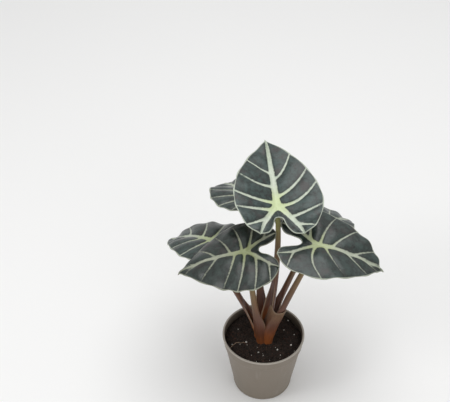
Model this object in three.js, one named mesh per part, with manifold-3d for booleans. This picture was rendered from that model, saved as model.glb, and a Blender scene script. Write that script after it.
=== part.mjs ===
// A potted alocasia: a round nursery pot filled with peat, and one plant whose shield-shaped leaves stand
// on long stalks round a short stem. Every blade, every stalk, the stem, the peat and the pot is a solid
// of its own. Millimetres, +Z up. The origin is the centre of the pot's foot. The open side of the plant
// faces -Y.
import * as THREE from "three";
import { mergeVertices } from "three/addons/utils/BufferGeometryUtils.js";
import Module from "manifold-3d";

const wasm = await Module();
wasm.setup();

const GAP = 0.3; // clearance left between two pieces that touch

const POT = {
  height: 100,
  rimRadius: 60,
  rimThick: 1.6,
  rimRound: 0.4,
  collarRadius: 57.6,
  collarHeight: 16,
  collarFlare: 1,
  stepIn: 1.6,
  stepHeight: 2,
  footRadius: 42,
  footWidth: 4,
  footRaise: 2.5,
  footSlope: 1.5,
  padRadius: 9,
  wall: 1.3,
  floorRound: 1.5,
  sides: 56,
  holes: 8,
  holeRadius: 3.6,
  holeCircle: 31,
  holeSides: 12,
};
const COLLAR_BOTTOM = POT.height - POT.collarHeight;
const STEP_BOTTOM = COLLAR_BOTTOM - POT.stepHeight;
const FLOOR_TOP = POT.footRaise + POT.wall;

// The peat stands below the rim. crumble and swell: how far its surface rises and falls, finely and
// broadly.
const SOIL = {
  below: 12,
  clear: 0.7,
  edge: 1.5,
  crumble: 1.3,
  swell: 0.8,
  swellX: 13,
  swellY: 11,
  rings: 7,
  sides: 40,
};
const PEAT = POT.height - SOIL.below;

// The stem's outline: shares of its radius, and heights above the peat
const STEM = { radius: 13, top: 32, sides: 16 };
const STEM_OUTLINE = [
  [0.6, -26],
  [0.9, -16],
  [1, -4],
  [1, 4],
  [0.95, 11],
  [0.84, 19],
  [0.68, 26],
  [0.5, 30],
  [0.25, STEM.top],
];

// quilt: how far a blade swells between two veins, as a share of its size; innerQuilt: the share of that
// between rib and sinus. waves: how many times the margin rises and falls all round; waveReach: how far
// out the waves have their full height. steps: columns from vein to vein, rows: rows from spine to
// margin.
const BLADE = {
  thick: 1,
  quilt: 0.011,
  innerQuilt: 0.6,
  waves: 4,
  waveReach: 0.6,
  steps: 3,
  rows: 4,
  innerRows: 3,
};

// base and top: radii of the stalk of a blade of fullSize; slim: the share of that left on the smallest
// blade; taper: how early it thins; flare: how far it widens under the blade, from flareFrom on; ring:
// where it leaves the stem, as a share of the stem's radius; lean: how far it leaves outwards; rise and
// hang: how long it keeps its direction at the foot and under the blade; inset: how deep it stands in the
// blade before it is cut to it.
const STALK = {
  base: 5.7,
  top: 2.7,
  fullSize: 118,
  slim: 0.4,
  taper: 0.7,
  flare: 1.35,
  flareFrom: 0.93,
  ring: 0.62,
  lean: 0.26,
  rise: 0.33,
  hang: 0.28,
  inset: 0.3,
  sides: 8,
  steps: 14,
};

// The blade laid flat, as half of its outline. u runs along the midrib from the stalk (0) to the tip (1),
// and v sideways.
const OUTER_MARGIN = [
  [1, 0],
  [0.93, 0.033],
  [0.83, 0.12],
  [0.68, 0.25],
  [0.49, 0.385],
  [0.28, 0.495],
  [0.07, 0.55],
  [-0.12, 0.54],
  [-0.28, 0.48],
  [-0.41, 0.385],
  [-0.47, 0.27],
];
const INNER_MARGIN = [
  [-0.19, 0],
  [-0.222, 0.05],
  [-0.325, 0.085],
  [-0.435, 0.155],
  [-0.47, 0.27],
];
const BASAL_RIB = [
  [0, 0],
  [-0.12, 0.08],
  [-0.26, 0.17],
  [-0.37, 0.23],
  [-0.47, 0.27],
];
// Where the side veins leave the spine (0 tip, 1 end of the lobe) and where they reach the margin, the
// same way
const JUNCTION = 0.6;
const SIDE_VEINS = [
  [0.2, 0.16],
  [0.35, 0.3],
  [0.49, 0.44],
  [JUNCTION, 0.56],
  [0.7, 0.69],
  [0.82, 0.85],
];
const VEIN_BOW = 0.11; // how far a side vein bows back from a straight line, of its length
const SINUS_SHARE = 0.3; // the share of the basal rib that lies beside the fused part of the lobes

// The leaves. at: where the stalk meets the blade. heading: where the tip points, anticlockwise from +X
// seen from above. pitch: tip down, roll: left side up, in degrees. size: from the stalk to the tip.
// width and lobe: how wide the blade and how long its lobes are, against the plain outline. bend: how far
// tip and lobes curl down, in radians. fold: how far the halves rise beside the midrib, droop: how far
// the margins fall, wave and turn: the margin's waves. port: where the stalk leaves the stem, as a
// bearing in degrees and a height. swing: what pushes the upper part of the stalk aside.
const LEAVES = [
  {
    at: [15.4, 60, 297.6], heading: 96.5, pitch: -17, roll: 6, size: 118.7, width: 0.96, lobe: 0.94,
    bend: [0.12, 0.08], fold: 0.42, droop: 0.2, wave: 0.012, turn: 3.6, port: [30, 22], swing: [16, -14, 0],
  },
  {
    at: [72, 16.5, 261.2], heading: -6.3, pitch: 8.3, roll: 6.3, size: 107.6, width: 1.03, lobe: 1.07,
    bend: [0.6, 0.38], fold: 0.23, droop: 0.3, wave: 0.018, turn: 0.1, port: [318, 3], swing: [-8, 0, 0],
  },
  {
    at: [-28, 11.2, 253.7], heading: 181.7, pitch: 8.4, roll: -5, size: 106, width: 1.07, lobe: 0.91,
    bend: [0.69, 0.28], fold: 0.03, droop: 0.36, wave: 0.02, turn: 1.3, port: [236, 5], swing: [0, 0, 0],
  },
  {
    at: [-78, 82, 210], heading: 142, pitch: 14, roll: 6, size: 98, width: 1, lobe: 1,
    bend: [0.55, 0.4], fold: 0.2, droop: 0.4, wave: 0.016, turn: 4.4, port: [149, 4], swing: [0, 0, 0],
  },
  {
    at: [70, 92, 232], heading: 40, pitch: 12, roll: -4, size: 100, width: 1, lobe: 1,
    bend: [0.5, 0.3], fold: 0.2, droop: 0.4, wave: 0.014, turn: 5.2, port: [50, 4], swing: [0, 0, 0],
  },
  {
    at: [-24, 114, 270], heading: 116, pitch: 13, roll: 3, size: 96, width: 1, lobe: 1,
    bend: [0.5, 0.35], fold: 0.24, droop: 0.4, wave: 0.016, turn: 3.7, port: [99, 4], swing: [10, 0, 0],
  },
];

const COLOURS = {
  pot: { color: "#7d756a", roughness: 0.55 },
  soil: { color: "#2a1d15", roughness: 0.95 },
  stem: { color: "#7a4526", roughness: 0.6 },
  stalk: { color: "#7b6a45", roughness: 0.5 },
  blade: { color: "#33443c", roughness: 0.38 },
};

const degrees = THREE.MathUtils.degToRad;

// Solids and booleans

function solidOf(geometry) {
  const bare = geometry.index ? geometry.toNonIndexed() : geometry.clone();
  bare.deleteAttribute("normal");
  bare.deleteAttribute("uv");
  const merged = mergeVertices(bare, 1e-4);
  const mesh = new wasm.Mesh({
    numProp: 3,
    vertProperties: merged.attributes.position.array,
    triVerts: new Uint32Array(merged.index.array),
  });
  return new wasm.Manifold(mesh);
}

function geometryOf(solid) {
  const mesh = solid.getMesh();
  const geometry = new THREE.BufferGeometry();
  geometry.setAttribute("position", new THREE.BufferAttribute(mesh.vertProperties, 3));
  geometry.setIndex(new THREE.BufferAttribute(mesh.triVerts, 1));
  geometry.computeVertexNormals();
  return geometry;
}

function named(name, geometry, look) {
  const mesh = new THREE.Mesh(geometry, new THREE.MeshStandardMaterial({ ...look, metalness: 0 }));
  mesh.name = name;
  return mesh;
}

// A round rod along a curve, closed at both ends, whose radius follows radiusAt(0..1)
function rod(curve, radiusAt, sides, steps) {
  const frames = curve.computeFrenetFrames(steps, false);
  const corners = [];
  for (let i = 0; i <= steps; i++) {
    const centre = curve.getPointAt(i / steps);
    const radius = radiusAt(i / steps);
    for (let k = 0; k < sides; k++) {
      const angle = (2 * Math.PI * k) / sides;
      const across = frames.normals[i].clone().multiplyScalar(Math.cos(angle));
      across.addScaledVector(frames.binormals[i], Math.sin(angle));
      corners.push(centre.clone().addScaledVector(across, radius));
    }
  }
  const first = corners.push(curve.getPointAt(0)) - 1;
  const last = corners.push(curve.getPointAt(1)) - 1;
  const faces = [];
  for (let k = 0; k < sides; k++) {
    const next = (k + 1) % sides;
    faces.push(first, next, k);
    faces.push(last, steps * sides + k, steps * sides + next);
    for (let i = 0; i < steps; i++) {
      const low = i * sides;
      const high = low + sides;
      faces.push(low + k, low + next, high + next, low + k, high + next, high + k);
    }
  }
  return new THREE.BufferGeometry().setFromPoints(corners).setIndex(faces);
}

// A small repeatable unevenness, from -1 to 1
function uneven(seed) {
  const wobble = Math.sin(seed * 127.1 + 11.7) * 43758.5453;
  return 2 * (wobble - Math.floor(wobble)) - 1;
}

// Pot

// The wall's inner radius at a height, between the floor and the collar
function potInside(z) {
  const share = THREE.MathUtils.clamp(z / COLLAR_BOTTOM, 0, 1);
  return THREE.MathUtils.lerp(POT.footRadius, POT.collarRadius - POT.stepIn, share) - POT.wall;
}

function makePot() {
  const rimBottom = POT.height - POT.rimThick;
  const inside = POT.collarRadius + POT.collarFlare - POT.wall;
  const footInside = POT.footRadius - POT.footWidth;
  const profile = [
    [0, 0],
    [POT.padRadius, 0],
    [POT.padRadius + POT.footSlope, POT.footRaise],
    [footInside - POT.footSlope, POT.footRaise],
    [footInside, 0],
    [POT.footRadius, 0],
    [POT.collarRadius - POT.stepIn, STEP_BOTTOM],
    [POT.collarRadius, COLLAR_BOTTOM],
    [POT.collarRadius + POT.collarFlare, rimBottom],
    [POT.rimRadius, rimBottom],
    [POT.rimRadius, POT.height - POT.rimRound],
    [POT.rimRadius - POT.rimRound, POT.height],
    [inside + POT.rimRound, POT.height],
    [inside, POT.height - POT.rimRound],
    [POT.collarRadius - POT.wall, COLLAR_BOTTOM + POT.wall],
    [potInside(STEP_BOTTOM), STEP_BOTTOM],
    [potInside(FLOOR_TOP) - POT.floorRound, FLOOR_TOP + POT.floorRound],
    [potInside(FLOOR_TOP) - 2 * POT.floorRound, FLOOR_TOP],
    [0, FLOOR_TOP],
  ];
  const points = profile.map(([r, z]) => new THREE.Vector2(r, z));
  let pot = solidOf(new THREE.LatheGeometry(points, POT.sides).rotateX(Math.PI / 2));
  const length = 4 * FLOOR_TOP;
  const drill = new THREE.CylinderGeometry(POT.holeRadius, POT.holeRadius, length, POT.holeSides);
  drill.rotateX(Math.PI / 2).translate(POT.holeCircle, 0, 0);
  for (let i = 0; i < POT.holes; i++) {
    pot = pot.subtract(solidOf(drill.clone().rotateZ((2 * Math.PI * i) / POT.holes)));
  }
  return named("pot", geometryOf(pot), COLOURS.pot);
}

// Stem: a short stout body; extra makes it larger all round, for the room that it takes in its neighbours

function stemGeometry(extra) {
  const points = STEM_OUTLINE.map(([share, z], i) => {
    const isTop = i >= STEM_OUTLINE.length - 2;
    const lift = isTop ? extra : i === 0 ? -extra : 0;
    return new THREE.Vector2(share * STEM.radius + extra, z + lift);
  });
  const closed = [new THREE.Vector2(0, points[0].y), ...points, new THREE.Vector2(0, points.at(-1).y)];
  return new THREE.LatheGeometry(closed, STEM.sides).rotateX(Math.PI / 2).translate(0, 0, PEAT);
}

// Peat: fills the pot to just below the collar's top, with a crumbly surface and a plain hole for the
// stem

function crumbled(x, y) {
  const seed = Math.round(x * 3) * 0.37 + Math.round(y * 3) * 0.73;
  const swell = Math.sin(x / SOIL.swellX + 1) * Math.cos(y / SOIL.swellY);
  return PEAT + SOIL.crumble * uneven(seed) + SOIL.swell * swell;
}

function makeSoil() {
  const inside = potInside(FLOOR_TOP) - POT.floorRound;
  const rim = POT.collarRadius - POT.wall - GAP;
  const profile = [
    [0, FLOOR_TOP + GAP],
    [inside - POT.floorRound - GAP, FLOOR_TOP + GAP],
    [inside - SOIL.clear, FLOOR_TOP + POT.floorRound + SOIL.clear],
    [potInside(STEP_BOTTOM) - SOIL.clear, STEP_BOTTOM - SOIL.clear],
    [rim - SOIL.clear, COLLAR_BOTTOM + POT.wall],
    [rim, PEAT - SOIL.edge],
  ];
  for (let i = SOIL.rings; i >= 0; i--) profile.push([((rim - SOIL.edge) * i) / SOIL.rings, PEAT]);
  const points = profile.map(([r, z]) => new THREE.Vector2(r, z));
  const body = new THREE.LatheGeometry(points, SOIL.sides).rotateX(Math.PI / 2);
  const place = body.attributes.position;
  for (let i = 0; i < place.count; i++) {
    const isSurface = place.getZ(i) > PEAT - GAP;
    if (isSurface) place.setZ(i, crumbled(place.getX(i), place.getY(i)));
  }
  const soil = solidOf(body).subtract(solidOf(stemGeometry(GAP)));
  return named("soil", geometryOf(soil), COLOURS.soil);
}

// Blades

const smooth = (points) => new THREE.SplineCurve(points.map(([u, v]) => new THREE.Vector2(u, v)));
const outerMargin = smooth(OUTER_MARGIN);
const innerMargin = smooth(INNER_MARGIN);
const basalRib = smooth(BASAL_RIB);

// The spine of half a blade: the midrib from the tip to the stalk, then the basal rib to the end of the
// lobe
function spineAt(s) {
  if (s <= JUNCTION) return new THREE.Vector2(1 - s / JUNCTION, 0);
  return basalRib.getPoint((s - JUNCTION) / (1 - JUNCTION));
}

// Where a line that leaves the spine at s reaches the margin
function marginShare(s) {
  const stops = [[0, 0], ...SIDE_VEINS, [1, 1]];
  const i = Math.max(1, stops.findIndex(([from]) => from >= s));
  const [s0, m0] = stops[i - 1];
  const [s1, m1] = stops[i];
  return m0 + ((m1 - m0) * (s - s0)) / (s1 - s0);
}

// A point t of the way from the spine to the margin, along the way the side veins run
function outerPoint(s, t) {
  const from = spineAt(s);
  const to = outerMargin.getPoint(marginShare(s));
  const middle = from.clone().lerp(to, 0.5);
  middle.x -= VEIN_BOW * from.distanceTo(to);
  return new THREE.QuadraticBezierCurve(from, middle, to).getPoint(t);
}

// A point of the strip between the basal rib and the sinus; share runs along the rib
function innerPoint(share, t) {
  const from = basalRib.getPoint(share);
  const sinus = innerMargin.getPoint(0);
  const to =
    share <= SINUS_SHARE
      ? sinus.clone().multiplyScalar(share / SINUS_SHARE)
      : innerMargin.getPoint((share - SINUS_SHARE) / (1 - SINUS_SHARE));
  return from.clone().lerp(to, t);
}

// Columns of the grid: on every side vein, and between two veins, where the blade swells
function spineColumns() {
  const stops = [0, ...SIDE_VEINS.map(([s]) => s), 1];
  const columns = [{ s: 0, crest: 0 }];
  for (let i = 1; i < stops.length; i++) {
    for (let k = 1; k <= BLADE.steps; k++) {
      const share = k / BLADE.steps;
      const s = THREE.MathUtils.lerp(stops[i - 1], stops[i], share);
      columns.push({ s, crest: k < BLADE.steps ? Math.sin(Math.PI * share) : 0 });
    }
  }
  return columns;
}

// The flat blade as points and quads. swell is how far the blade stands up between its veins there, 0 to
// 1.
function flatBlade() {
  const points = [];
  const found = new Map();
  const quads = [];
  const corner = (p, side, swell) => {
    const v = p.y * side;
    const key = p.x.toFixed(4) + "_" + (v + 1).toFixed(4);
    if (!found.has(key)) found.set(key, points.push({ u: p.x, v, swell }) - 1);
    return found.get(key);
  };
  const addStrip = (grid, flip) => {
    for (let i = 0; i + 1 < grid.length; i++) {
      for (let j = 0; j + 1 < grid[i].length; j++) {
        const quad = [grid[i][j], grid[i + 1][j], grid[i + 1][j + 1], grid[i][j + 1]];
        quads.push(flip ? quad.reverse() : quad);
      }
    }
  };
  const columns = spineColumns();
  const lobeColumns = columns.filter(({ s }) => s >= JUNCTION);
  for (const side of [1, -1]) {
    const outer = columns.map(({ s, crest }) =>
      Array.from({ length: BLADE.rows + 1 }, (_, j) => {
        const t = j / BLADE.rows;
        return corner(outerPoint(s, t), side, crest * Math.sin(Math.PI * t));
      }),
    );
    const inner = lobeColumns.map(({ s }) =>
      Array.from({ length: BLADE.innerRows + 1 }, (_, j) => {
        const t = j / BLADE.innerRows;
        const share = (s - JUNCTION) / (1 - JUNCTION);
        return corner(innerPoint(share, t), side, BLADE.innerQuilt * Math.sin(Math.PI * t));
      }),
    );
    addStrip(outer, side > 0);
    addStrip(inner, side < 0);
  }
  return { points, quads };
}

// Where a point of the flat blade goes when the leaf has its natural form, still around its own stalk
function curvedPoint(leaf, flat) {
  const u = flat.u > 0 ? flat.u : flat.u * leaf.lobe;
  const v = flat.v * leaf.width;
  const wide = Math.abs(v);
  const reach = Math.hypot(u, v) / BLADE.waveReach;
  const wave = leaf.wave * reach * reach * Math.sin(BLADE.waves * Math.atan2(v, u) + leaf.turn);
  const height = leaf.fold * wide - leaf.droop * wide * wide + wave + BLADE.quilt * flat.swell;
  const curl = u > 0 ? leaf.bend[0] : leaf.bend[1];
  const angle = curl * u;
  const along = Math.sin(angle) / curl;
  const down = (1 - Math.cos(angle)) / curl;
  const place = new THREE.Vector3(along + height * Math.sin(angle), v, height * Math.cos(angle) - down);
  return place.multiplyScalar(leaf.size);
}

function bladeGeometry(leaf, thick) {
  const { points, quads } = flatBlade();
  const upper = points.map((p) => curvedPoint(leaf, p));
  const faces = [];
  const edges = new Map();
  for (const quad of quads) {
    const ring = quad.filter((n, i) => n !== quad[(i + 1) % 4]);
    if (ring.length < 3) continue;
    faces.push([ring[0], ring[1], ring[2]]);
    if (ring.length === 4) faces.push([ring[0], ring[2], ring[3]]);
    ring.forEach((n, i) => {
      const next = ring[(i + 1) % ring.length];
      const back = next + "_" + n;
      if (edges.has(back)) edges.delete(back);
      else edges.set(n + "_" + next, [n, next]);
    });
  }
  const normals = points.map(() => new THREE.Vector3());
  for (const [a, b, c] of faces) {
    const normal = upper[b].clone().sub(upper[a]).cross(upper[c].clone().sub(upper[a]));
    [a, b, c].forEach((n) => normals[n].add(normal));
  }
  const lower = upper.map((p, i) => p.clone().addScaledVector(normals[i].normalize(), -thick));
  const index = [];
  const below = points.length;
  for (const [a, b, c] of faces) index.push(a, b, c, c + below, b + below, a + below);
  for (const [a, b] of edges.values()) index.push(b, a, a + below, b, a + below, b + below);
  return new THREE.BufferGeometry().setFromPoints([...upper, ...lower]).setIndex(index);
}

function bladeTurn(leaf) {
  return new THREE.Euler(degrees(leaf.roll), degrees(leaf.pitch), degrees(leaf.heading), "ZYX");
}

// The blade and the gap below it, as a solid where the leaf stands
function bladeRoom(leaf) {
  const place = new THREE.Matrix4().makeRotationFromEuler(bladeTurn(leaf)).setPosition(...leaf.at);
  return solidOf(bladeGeometry(leaf, BLADE.thick + GAP).applyMatrix4(place));
}

function makeBlade(leaf, name) {
  const geometry = bladeGeometry(leaf, BLADE.thick);
  geometry.computeVertexNormals();
  const blade = named(name, geometry, COLOURS.blade);
  blade.rotation.copy(bladeTurn(leaf));
  blade.position.set(...leaf.at);
  return blade;
}

// Stalks: each leaves the stem beside its neighbours, rises and meets the lower face of its blade

function stalkCurve(leaf) {
  const up = new THREE.Vector3(0, 0, 1).applyEuler(bladeTurn(leaf));
  const end = new THREE.Vector3(...leaf.at).addScaledVector(up, STALK.inset - BLADE.thick);
  const [bearing, level] = leaf.port;
  const outward = new THREE.Vector3(Math.cos(degrees(bearing)), Math.sin(degrees(bearing)), 0);
  const inward = STALK.ring * STEM.radius * (1 - level / STEM.top);
  const start = new THREE.Vector3(0, 0, PEAT + level).addScaledVector(outward, inward);
  const length = start.distanceTo(end);
  const leave = new THREE.Vector3(0, 0, 1).addScaledVector(outward, STALK.lean).normalize();
  const risen = start.clone().addScaledVector(leave, length * STALK.rise);
  const swung = end.clone().addScaledVector(up, -length * STALK.hang).add(new THREE.Vector3(...leaf.swing));
  return new THREE.CubicBezierCurve3(start, risen, swung, end);
}

function stalkRadius(leaf) {
  const stout = THREE.MathUtils.lerp(STALK.slim, 1, leaf.size / STALK.fullSize);
  return (share) => {
    const thin = THREE.MathUtils.lerp(STALK.base, STALK.top, Math.pow(share, STALK.taper));
    const flare = 1 + (STALK.flare - 1) * THREE.MathUtils.smoothstep(share, STALK.flareFrom, 1);
    return thin * stout * flare;
  };
}

function makeStalk(leaf, name, stem) {
  const body = rod(stalkCurve(leaf), stalkRadius(leaf), STALK.sides, STALK.steps);
  const cut = solidOf(body).subtract(stem).subtract(bladeRoom(leaf));
  const largest = cut.decompose().sort((a, b) => b.volume() - a.volume())[0];
  return named(name, geometryOf(largest), COLOURS.stalk);
}

const plant = new THREE.Group();
plant.add(named("stem_base", stemGeometry(0), COLOURS.stem));
const stemRoom = solidOf(stemGeometry(GAP));
LEAVES.forEach((leaf, i) => {
  plant.add(makeBlade(leaf, "blade_" + (i + 1)));
  plant.add(makeStalk(leaf, "stalk_" + (i + 1), stemRoom));
});

const pottedAlocasia = new THREE.Group();
pottedAlocasia.add(makePot(), makeSoil(), plant);

export default pottedAlocasia;
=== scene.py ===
"""A potted alocasia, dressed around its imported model: six shield-shaped leaves with silver veins on fleshy
sheathed stalks, a short stem, peat and a round nursery pot. Every object is in metres; the tables of the
leaves are in millimetres and in shares of a leaf's length, as the solids were made."""

import math

import bpy
import numpy as np
from bpy.props import FloatProperty, FloatVectorProperty, IntProperty, PointerProperty
from mathutils import Euler, Matrix, Vector


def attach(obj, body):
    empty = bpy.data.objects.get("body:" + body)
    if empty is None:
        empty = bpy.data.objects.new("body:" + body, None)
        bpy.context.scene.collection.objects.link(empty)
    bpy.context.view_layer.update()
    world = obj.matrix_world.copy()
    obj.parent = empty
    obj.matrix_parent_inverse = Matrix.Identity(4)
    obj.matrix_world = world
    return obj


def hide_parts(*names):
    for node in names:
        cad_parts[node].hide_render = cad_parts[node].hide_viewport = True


bl_info = {
    "name": "Potted alocasia",
    "version": (1, 0, 0),
    "blender": (4, 5, 0),
    "location": "3D View > Sidebar > Alocasia",
    "description": "Builds the leaves, stalks, stem, peat and pot of a potted alocasia around its solids",
    "category": "Add Mesh",
}

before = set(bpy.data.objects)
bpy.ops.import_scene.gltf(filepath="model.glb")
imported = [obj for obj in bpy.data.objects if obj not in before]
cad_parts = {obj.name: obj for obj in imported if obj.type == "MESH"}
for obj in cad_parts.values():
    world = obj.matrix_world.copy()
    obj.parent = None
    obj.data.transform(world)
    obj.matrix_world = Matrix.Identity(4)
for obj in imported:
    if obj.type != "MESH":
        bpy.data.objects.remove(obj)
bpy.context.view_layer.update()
MM = 0.001

# Heights and radii of the pot and the peat, in millimetres
POT_HEIGHT = 100
RIM_RADIUS = 60
COLLAR_RADIUS = 57.6
COLLAR_BOTTOM = 84
STEP_BOTTOM = 82
STEP_IN = 1.6
FOOT_RADIUS = 42
FOOT_WIDTH = 4
FOOT_RAISE = 2.5
PAD_RADIUS = 9
POT_WALL = 1.3
HOLE_RADIUS = 3.6
HOLE_CIRCLE = 31
HOLES = 8
PEAT = 88
PEAT_EDGE = 56.2
PEAT_BOTTOM = 6
PEAT_SIDES = 240
STEM_RADIUS = 13
STEM_TOP = 32

# Half of the flat blade's outline: along the midrib from the stalk (0) to the tip (1), and sideways
OUTER_MARGIN = [(1, 0), (0.93, 0.033), (0.83, 0.12), (0.68, 0.25), (0.49, 0.385), (0.28, 0.495), (0.07, 0.55),
                (-0.12, 0.54), (-0.28, 0.48), (-0.41, 0.385), (-0.47, 0.27)]
INNER_MARGIN = [(-0.19, 0), (-0.222, 0.05), (-0.325, 0.085), (-0.435, 0.155), (-0.47, 0.27)]
BASAL_RIB = [(0, 0), (-0.12, 0.08), (-0.26, 0.17), (-0.37, 0.23), (-0.47, 0.27)]
JUNCTION = 0.6
SINUS_SHARE = 0.3
WAVES = 4
WAVE_REACH = 0.6
SOFT_FOLD = 0.025

# Side veins: where one leaves the spine and reaches the margin, both from the tip (0) to the lobe (1), and
# how far it bows back, as a share of its length
SIDE_VEINS = [(0.23, 0.2, 0.1), (0.35, 0.32, 0.15), (0.49, 0.44, 0.18), (0.6, 0.56, 0.18), (0.7, 0.69, 0.08),
              (0.82, 0.85, 0.05)]
# How stout the veins are, and how far the blade is darkened for age and as painted shade, of a leaf that says
# neither
PLAIN_VEINS = 0.85
PLAIN_SHADE_AND_AGE = 0.4
# Half widths of the veins in millimetres: along the midrib, along the basal rib, and at the root of a side
# vein by where it leaves the spine. The last is how softly veins run together
MIDRIB_WIDTHS = [(0, 5.2), (0.15, 4.4), (0.5, 3.5), (0.8, 2.4), (1, 1.0)]
RIB_WIDTHS = [(0, 4.4), (0.4, 3.1), (0.75, 2.2), (1, 0.8)]
VEIN_ROOTS = [(0, 0.5), (0.2, 0.8), (0.35, 1.9), (0.5, 2.3), (0.6, 2.6), (0.7, 2.4), (0.82, 1.9), (1, 1.4)]
VEIN_MERGE = 1.1

# The leaves as the solids have them, in millimetres, degrees and shares. Where they differ from those of a
# plain leaf, left and right are the side veins of the two halves, stout is how wide the veins are,
# shade_and_age how far the blade is darkened, partly for age and partly as painted shade of the lower leaves,
# and ripe how little orange is left at the stalk's foot
LEAVES = [
    dict(at=(15.4, 60, 297.6), turn=(96.5, -17, 6), size=118.7, width=0.96, lobe=0.94, bend=(0.12, 0.08),
         fold=0.42, droop=0.2, wave=0.012, phase=3.6, port=(30, 22), swing=(16, -14, 0), stout=1, shade_and_age=0,
         left=[(0.34, 0.34, 0.1), (0.45, 0.46, 0.19), (0.588, 0.58, 0.1), (0.676, 0.69, 0.04),
               (0.77, 0.85, 0.1)],
         right=[(0.384, 0.3, 0.4), (0.54, 0.43, 0.26), (0.624, 0.52, 0.36), (0.764, 0.68, 0.1),
                (0.85, 0.87, 0.06)]),
    dict(at=(72, 16.5, 261.2), turn=(-6.3, 8.3, 6.3), size=107.6, width=1.03, lobe=1.07, bend=(0.6, 0.38),
         fold=0.23, droop=0.3, wave=0.018, phase=0.1, port=(318, 3), swing=(-8, 0, 0), stout=0.7, shade_and_age=0.6,
         left=[(0.17, 0.12, 0.05), (0.318, 0.24, 0.02), (0.492, 0.39, 0.1), (0.582, 0.53, 0.12),
               (0.68, 0.69, 0.05), (0.8, 0.85, 0.04)],
         right=[(0.2, 0.14, 0.1), (0.372, 0.27, 0.1), (0.54, 0.45, 0.16), (0.6, 0.59, 0.35),
                (0.81, 0.84, 0.02)]),
    dict(at=(-28, 11.2, 253.7), turn=(181.7, 8.4, -5), size=106, width=1.07, lobe=0.91, bend=(0.69, 0.28),
         fold=0.03, droop=0.36, wave=0.02, phase=1.3, port=(236, 5), swing=(0, 0, 0),
         stout=0.74, shade_and_age=1, ripe=0.1,
         left=[(0.2, 0.15, 0.1), (0.37, 0.31, 0.14), (0.516, 0.46, 0.14), (0.59, 0.555, 0.14),
               (0.712, 0.68, 0.1), (0.85, 0.83, 0.02)],
         right=[(0.2, 0.15, 0.1), (0.36, 0.3, 0.12), (0.48, 0.42, 0.14), (0.57, 0.54, 0.14),
                (0.64, 0.71, 0.06), (0.8, 0.85, 0.04)]),
    dict(at=(-78, 82, 210), turn=(142, 14, 6), size=98, width=1, lobe=1, bend=(0.55, 0.4),
         fold=0.2, droop=0.4, wave=0.016, phase=4.4, port=(149, 4), swing=(0, 0, 0)),
    dict(at=(70, 92, 232), turn=(40, 12, -4), size=100, width=1, lobe=1, bend=(0.5, 0.3),
         fold=0.2, droop=0.4, wave=0.014, phase=5.2, port=(50, 4), swing=(0, 0, 0)),
    dict(at=(-24, 114, 270), turn=(116, 13, 3), size=96, width=1, lobe=1, bend=(0.5, 0.35),
         fold=0.24, droop=0.4, wave=0.016, phase=3.7, port=(99, 4), swing=(10, 0, 0)),
]
FULL_SIZE = 118
# Bumps of the blade and flutter of its margin: height and breadth in millimetres, and seed
BUMPS = [(0.22, 11, 70), (0.7, 42, 90)]
FLUTTER = (1.3, 17, 110)
# A stalk's open sheath: the share of the way round that its outer face takes, and how far it turns in degrees
WING_SHARE = 0.62
WING_ANGLE = 118
# The stem from below: its width as a share of its radius, and height above the peat in millimetres
STEM_FORM = [(0.6, -26), (0.9, -16), (1, -4), (1, 4), (0.95, 11), (0.84, 19), (0.68, 26), (0.5, 30),
             (0.25, STEM_TOP)]

# Grains of perlite that show at the front of the peat: place across and away, and size, in millimetres
GRAINS = [(-25, -7, 2.3), (-24, -12, 1.2), (-46, -12, 1.4), (45.5, 6, 1.9), (40, -14.5, 3.1), (20, -23, 2.5),
          (31, 17, 1.5), (-8, -28, 1.8), (-18, -32, 1.6), (-11, -44, 1.5), (-1, -33.5, 1.4), (24, -33.5, 1.5),
          (23, -39, 1.2), (-37, 18, 1.4), (38, 36, 1.5)]
# The sheath that clasps the two front stalks on the right: the bearing of its middle and its half width in
# degrees, the height of its mouth, how far its left and right edges rise above that, and its distance
SHEATH = dict(bearing=268, half_width=88, mouth=62, left=8, right=3, lift=0.5)
FIBRE_LIFT = 0.0006  # how far the fibres lie above the peat, in metres
# A thin pale rootlet on the peat
ROOTLET = [(-48.5, -19.5), (-47, -17), (-44, -13.5), (-38, -10), (-32, -9.3), (-26, -8)]


def length(name, default, description):
    return FloatProperty(name=name, default=default, description=description, unit="LENGTH", min=0)


def share(name, default, description):
    return FloatProperty(name=name, default=default, description=description, subtype="FACTOR", min=0, max=1)


def colour(name, default, description):
    return FloatVectorProperty(name=name, default=default, description=description, subtype="COLOR",
                               min=0, max=1)


def count(name, default, description):
    return IntProperty(name=name, default=default, description=description, min=1)


def power(name, default, description):
    return FloatProperty(name=name, default=default, description=description, unit="POWER", min=0)


class PotLook(bpy.types.PropertyGroup):
    sides: count("Sides", 192, "Steps round the pot")
    lip_round: length("Lip rounding", 0.0007, "Radius of the rounded edge of the lip")
    plastic: colour("Plastic", (0.186, 0.15, 0.113), "Colour of the moulded plastic")
    # Paler colour of scuffs, also used as a painted highlight along the top edge of the lip
    worn_and_highlight: colour("Worn edge", (0.43, 0.395, 0.345), "Paler colour of the lip and of scuffs")
    dust: colour("Dust", (0.26, 0.235, 0.2), "Dried lime and dust on the wall")
    # Colour of peat stuck to the plastic, also used as painted shade on the inner wall of the collar
    stain_and_shade: colour("Soil stain", (0.05, 0.038, 0.028), "Peat that sticks to the plastic")


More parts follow.
